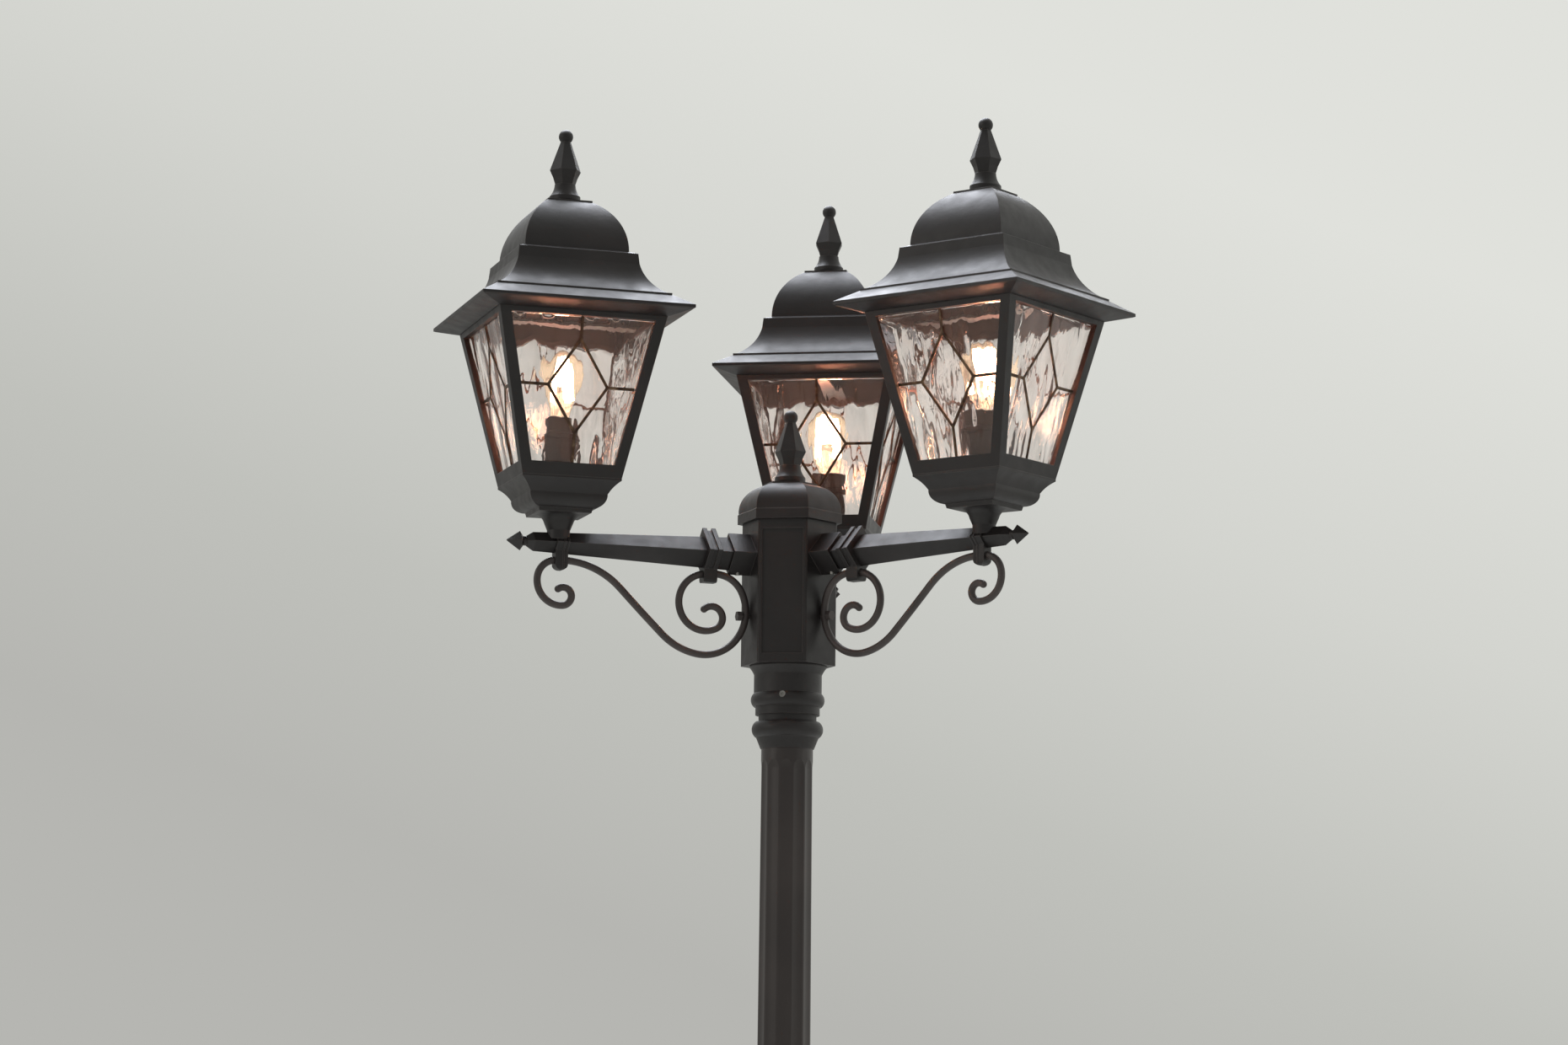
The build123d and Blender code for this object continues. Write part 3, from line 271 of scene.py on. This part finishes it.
rolled_glass, tree = new_material("rolled_water_glass")
place = add(tree, "ShaderNodeTexCoord")
down = add(tree, "ShaderNodeMapping", {"Vector": (place, "Object"), "Scale": (1.0, 1.0, 0.35)})
ripple = add(tree, "ShaderNodeTexNoise", {
    "Vector": (down, "Vector"), "Scale": 95.0, "Detail": 1.5, "Distortion": 0.6})
ripple_bump = add(tree, "ShaderNodeBump", {"Height": (ripple, "Fac"), "Strength": 0.30, "Distance": 0.0016})
pane_body = add(tree, "ShaderNodeBsdfPrincipled", {
    "Base Color": linear("#fcf9f7"), "Roughness": 0.015, "IOR": 1.51, "Transmission Weight": 1.0,
    "Normal": (ripple_bump, "Normal")})
lit = pass_light(tree, pane_body, "#eef0ec")
dust = add(tree, "ShaderNodeBsdfTranslucent", {"Color": linear("#fff4ea")})
dusty = add(tree, "ShaderNodeMixShader", {0: dust_share, 1: (lit, "Shader"), 2: (dust, "BSDF")})
add(tree, "ShaderNodeOutputMaterial", {"Surface": (dusty, "Shader")})

for side in sides:
    mesh = welded(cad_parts[f"{side}_glass_panes"])
    long_edges = [e for e in mesh.edges if e.calc_length() > pane_edge_least]
    bmesh.ops.subdivide_edges(mesh, edges=long_edges, cuts=pane_cuts, use_grid_fill=True)
    mesh.normal_update()
    axis_x, axis_y, _ = lamp_top(side)
    moves = []
    for vertex in mesh.verts:
        faces = list(vertex.link_faces)
        if len(faces) < 4 or any(len(f.verts) == 4 and f.calc_area() < corner_area for f in faces):
            continue
        normal = faces[0].normal
        if any(normal.dot(f.normal) < flat_cosine for f in faces):
            continue
        out = Vector((vertex.co.x - axis_x, vertex.co.y - axis_y, 0.0))
        height = wave_height * (outer_share if normal.dot(out) > 0.0 else 1.0)
        across = normal.cross(Vector((0.0, 0.0, 1.0))).normalized().dot(out) / wave_across
        along = vertex.co.z / wave_along
        seed = pane_seeds[0] * normal.x + pane_seeds[1] * normal.y
        fine = Vector((across * fine_across, along * fine_along, seed + fine_seed))
        swell = noise.noise(Vector((across, along, seed))) + fine_height * noise.noise(fine)
        moves.append((vertex, normal * swell * height))
    for vertex, move in moves:
        vertex.co += move
    panes = new_piece(f"{side}_water_glass", mesh, rolled_glass)
    crease = panes.modifiers.new("crease", "EDGE_SPLIT")
    crease.split_angle = pane_crease
    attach(panes, "post")
    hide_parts(f"{side}_glass_panes")


# ---------------------------------------------------------------- leading

# Lead strips are pressed on to the outside of the panes: a centre diamond and four short bars. They
# are rounded along their edges and a dull, patchy grey-brown.

strip_round = 0.00062
strip_steps = 3
strip_corner = math.radians(60.0)

lead_strip, tree = new_material("weathered_lead_strip")
place = add(tree, "ShaderNodeTexCoord")
patina = add(tree, "ShaderNodeTexNoise", {"Vector": (place, "Object"), "Scale": 120.0, "Detail": 5.0})
tint = add(tree, "ShaderNodeValToRGB", {"Fac": (patina, "Fac")})
blend_stops(tint, [(0.32, "#3a2c25"), (0.52, "#5b4738"), (0.74, "#8a715a")])
dents = add(tree, "ShaderNodeBump", {"Height": (patina, "Fac"), "Strength": 0.35, "Distance": 0.0004})
surface = add(tree, "ShaderNodeBsdfPrincipled", {
    "Base Color": (tint, "Color"), "Metallic": 0.75, "Roughness": 0.38, "Normal": (dents, "Normal")})
add(tree, "ShaderNodeOutputMaterial", {"Surface": (surface, "BSDF")})

for side in sides:
    mesh = welded(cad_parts[f"{side}_leading"])
    strips = new_piece(f"{side}_lead_strips", mesh, lead_strip)
    crown = strips.modifiers.new("crown", "BEVEL")
    crown.width = strip_round
    crown.segments = strip_steps
    crown.limit_method = "ANGLE"
    crown.angle_limit = strip_corner
    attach(strips, "post")
    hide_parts(f"{side}_leading")


# ---------------------------------------------------------------- lampholders

# The lampholder is a moulded phenolic cylinder that takes an E27 cap. It is black and smooth from the
# mould, with little shine.

phenolic, tree = new_material("moulded_black_phenolic")
place = add(tree, "ShaderNodeTexCoord")
flow = add(tree, "ShaderNodeTexNoise", {"Vector": (place, "Object"), "Scale": 45.0, "Detail": 2.0})
tint = add(tree, "ShaderNodeValToRGB", {"Fac": (flow, "Fac")})
blend_stops(tint, [(0.35, "#080606"), (0.70, "#0e0b0a")])
flow_bump = add(tree, "ShaderNodeBump", {"Height": (flow, "Fac"), "Strength": 0.08, "Distance": 0.0006})
surface = add(tree, "ShaderNodeBsdfPrincipled", {
    "Base Color": (tint, "Color"), "Roughness": 0.55, "IOR": 1.58, "Specular IOR Level": 0.12,
    "Normal": (flow_bump, "Normal")})
add(tree, "ShaderNodeOutputMaterial", {"Surface": (surface, "BSDF")})

coat([f"{side}_lampholder" for side in sides], phenolic)


# ---------------------------------------------------------------- lamps

# Each lamp is a 60 mm blown glass bulb on a nickel-plated E27 cap, with warm white filament sticks on
# a glass stem. It is lit: the sticks glare, and the envelope round them glows faintly.

nickel, tree = new_material("nickel_plated_cap")
place = add(tree, "ShaderNodeTexCoord")
thread = add(tree, "ShaderNodeTexWave", {"Vector": (place, "Object"), "Scale": 68.0}, bands_direction="Z")
thread_bump = add(tree, "ShaderNodeBump", {"Height": (thread, "Fac"), "Strength": 0.6, "Distance": 0.0008})
surface = add(tree, "ShaderNodeBsdfPrincipled", {
    "Base Color": linear("#b9b4a8"), "Metallic": 1.0, "Roughness": 0.28, "Normal": (thread_bump, "Normal")})
add(tree, "ShaderNodeOutputMaterial", {"Surface": (surface, "BSDF")})

blown_glass, tree = new_material("blown_glass_lit")
envelope = add(tree, "ShaderNodeBsdfPrincipled", {
    "Base Color": linear("#fff4e2"), "Roughness": 0.05, "IOR": 1.47, "Transmission Weight": 1.0,
    "Emission Color": linear("#ffe4cc"), "Emission Strength": 0.10})
lit = pass_light(tree, envelope, "#fff8ee")
add(tree, "ShaderNodeOutputMaterial", {"Surface": (lit, "Shader")})

glowing, tree = new_material("glowing_filament_stick")
glow = add(tree, "ShaderNodeBsdfPrincipled", {
    "Base Color": linear("#fff0d2"), "Roughness": 0.6,
    "Emission Color": linear("#ffd0b4"), "Emission Strength": 16.0})
add(tree, "ShaderNodeOutputMaterial", {"Surface": (glow, "BSDF")})

stick_count = 6
stick_length = 0.054
stick_radius = 0.0023
stick_circle = 0.0118
stick_drop = 0.036
stick_lean = math.radians(-7.0)
stick_sides = 12
stick_end_round = 0.0009
stick_end_steps = 3
rim_angle = 1.0

coat([f"{side}_bulb_glass" for side in sides], blown_glass)
coat([f"{side}_bulb_cap" for side in sides], nickel)

for side in sides:
    axis_x, axis_y, top = lamp_top(side)
    middle = Vector((axis_x, axis_y, top - stick_drop))
    mesh = bmesh.new()
    for turn in range(stick_count):
        swing = 2.0 * math.pi * turn / stick_count
        lean = Matrix.Rotation(swing, 4, "Z") @ Matrix.Rotation(stick_lean, 4, "Y")
        stick = Matrix.Translation(middle) @ lean @ Matrix.Translation((stick_circle, 0.0, 0.0))
        made = bmesh.ops.create_cone(
            mesh, cap_ends=True, segments=stick_sides, radius1=stick_radius, radius2=stick_radius,
            depth=stick_length, matrix=stick)
        edges = dict.fromkeys(e for v in made["verts"] for e in v.link_edges)
        rims = [e for e in edges if len(e.link_faces) == 2
                and e.link_faces[0].normal.angle(e.link_faces[1].normal) > rim_angle]
        bmesh.ops.bevel(
            mesh, geom=rims, offset=stick_end_round, segments=stick_end_steps, affect="EDGES")
    sticks = new_piece(f"{side}_filament_sticks", mesh, glowing)
    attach(sticks, f"{side}_lamp")


# ---------------------------------------------------------------- plated steel

# The roof bridges, their studs, the stem nipples and the cap's bridge are cut from mild steel and zinc
# plated. The plating is pale grey with a faint spangle.

zinc, tree = new_material("zinc_plated_steel")
place = add(tree, "ShaderNodeTexCoord")
spangle = add(tree, "ShaderNodeTexVoronoi", {"Vector": (place, "Object"), "Scale": 220.0})
tint = add(tree, "ShaderNodeValToRGB", {"Fac": (spangle, "Color")})
blend_stops(tint, [(0.2, "#8b8c8a"), (0.8, "#a9aaa6")])
surface = add(tree, "ShaderNodeBsdfPrincipled", {
    "Base Color": (tint, "Color"), "Metallic": 1.0, "Roughness": 0.42})
add(tree, "ShaderNodeOutputMaterial", {"Surface": (surface, "BSDF")})

coat([f"{side}_{part}" for side in sides for part in ("roof_bridge", "stem_nipple")], zinc)
coat(["cap_bridge"], zinc)


# ---------------------------------------------------------------- screws

# The grub screws in the collar and the screws under the sleeves and in the column's floor are bare
# stainless steel, turned, so they catch the light.

stainless, tree = new_material("turned_stainless_steel")
place = add(tree, "ShaderNodeTexCoord")
turning = add(tree, "ShaderNodeTexNoise", {"Vector": (place, "Object"), "Scale": 900.0, "Detail": 2.0})
turning_bump = add(tree, "ShaderNodeBump", {"Height": (turning, "Fac"), "Strength": 0.15, "Distance": 0.0002})
surface = add(tree, "ShaderNodeBsdfPrincipled", {
    "Base Color": linear("#a3a19c"), "Metallic": 1.0, "Roughness": 0.34, "Normal": (turning_bump, "Normal")})
add(tree, "ShaderNodeOutputMaterial", {"Surface": (surface, "BSDF")})

coat(["collar_screws", "column_screws", "sleeve_screws"], stainless)


# ---------------------------------------------------------------- terminal block

# The terminal block inside the head column is moulded in natural polyamide, slightly yellow and waxy.

polyamide, tree = new_material("natural_polyamide")
place = add(tree, "ShaderNodeTexCoord")
cloud = add(tree, "ShaderNodeTexNoise", {"Vector": (place, "Object"), "Scale": 80.0, "Detail": 2.0})
tint = add(tree, "ShaderNodeValToRGB", {"Fac": (cloud, "Fac")})
blend_stops(tint, [(0.3, "#ddd6c4"), (0.7, "#e8e2d2")])
surface = add(tree, "ShaderNodeBsdfPrincipled", {
    "Base Color": (tint, "Color"), "Roughness": 0.45, "IOR": 1.53, "Subsurface Weight": 0.1})
add(tree, "ShaderNodeOutputMaterial", {"Surface": (surface, "BSDF")})

coat(["terminal_block"], polyamide)


# ---------------------------------------------------------------- studio

# A plain pale floor, pale grey air that is lighter upwards and to the right and a darker grey on the
# camera's side, three soft lamps, and a small warm light inside each of the post's own lamps.

floor_half = 14.0
floor_drop = 0.0005
sideways_share = 0.42
warm_drop = 0.032
warm_size = 0.012
warm_watts = 0.70

floor_mesh = bpy.data.meshes.new("floor")
floor_mesh.from_pydata(
    [(x * floor_half, y * floor_half, -floor_drop) for x, y in ((-1, -1), (1, -1), (1, 1), (-1, 1))],
    [], [(0, 1, 2, 3)])
floor = bpy.data.objects.new("floor", floor_mesh)
bpy.context.scene.collection.objects.link(floor)
paving, tree = new_material("pale_studio_floor")
surface = add(tree, "ShaderNodeBsdfPrincipled", {"Base Color": linear("#cfcfcb"), "Roughness": 0.9})
add(tree, "ShaderNodeOutputMaterial", {"Surface": (surface, "BSDF")})
floor_mesh.materials.append(paving)

world = bpy.data.worlds.new("studio_air")
bpy.context.scene.world = world
world.use_nodes = True
tree = world.node_tree
tree.nodes.clear()
way = add(tree, "ShaderNodeTexCoord")
parts = add(tree, "ShaderNodeSeparateXYZ", {"Vector": (way, "Generated")})
slope = add(tree, "ShaderNodeMath", {0: (parts, "X"), 1: sideways_share}, operation="MULTIPLY")
rise = add(tree, "ShaderNodeMath", {0: (parts, "Z"), 1: (slope, "Value")}, operation="ADD")
seen = add(tree, "ShaderNodeMapRange", {
    "Value": (rise, "Value"), "From Min": -0.05, "From Max": 0.22})
shade = add(tree, "ShaderNodeValToRGB", {"Fac": (seen, "Result")})
blend_stops(shade, [(0.05, "#b6b6b2"), (0.30, "#c0c1bc"), (0.62, "#d3d4cf"), (0.95, "#e0e1dc")])
facing = add(tree, "ShaderNodeMapRange", {
    "Value": (parts, "Y"), "From Min": 0.15, "From Max": -0.75, "To Min": 0.0, "To Max": 1.0})
room = add(tree, "ShaderNodeMixRGB", {
    "Fac": (facing, "Result"), "Color1": (shade, "Color"), "Color2": linear("#9a9a98")})
shown = add(tree, "ShaderNodeBackground", {"Color": (room, "Color"), "Strength": 1.0})
add(tree, "ShaderNodeOutputWorld", {"Surface": (shown, "Background")})


def soft_lamp(name, place, aim, wide, deep, watts, colour):
    """A wide soft lamp that looks at a point."""
    lamp = bpy.data.objects.new(name, bpy.data.lights.new(name, "AREA"))
    lamp.data.shape = "RECTANGLE"
    lamp.data.size = wide
    lamp.data.size_y = deep
    lamp.data.energy = watts
    lamp.data.color = linear(colour)[:3]
    lamp.location = place
    lamp.rotation_euler = (Vector(aim) - Vector(place)).to_track_quat("-Z", "Y").to_euler()
    lamp.visible_camera = False
    bpy.context.scene.collection.objects.link(lamp)


soft_lamp("top_lamp", (-0.55, 0.95, 4.5), (0.0, 0.0, 2.0), 2.2, 1.6, 95.0, "#f1f5ff")
soft_lamp("back_lamp", (-0.6, 3.1, 4.2), (0.0, 0.0, 2.0), 2.6, 1.0, 70.0, "#f1f5ff")
soft_lamp("left_lamp", (-3.6, -2.4, 2.8), (0.0, 0.0, 1.8), 1.6, 1.6, 14.0, "#fffaf2")

for side in sides:
    axis_x, axis_y, top = lamp_top(side)
    warm = bpy.data.objects.new(f"{side}_warm_light", bpy.data.lights.new(f"{side}_warm_light", "POINT"))
    warm.data.energy = warm_watts
    warm.data.color = linear("#ff8f78")[:3]
    warm.data.shadow_soft_size = warm_size
    warm.location = (axis_x, axis_y, top - warm_drop)
    bpy.context.scene.collection.objects.link(warm)

bpy.context.scene.view_settings.view_transform = "Standard"
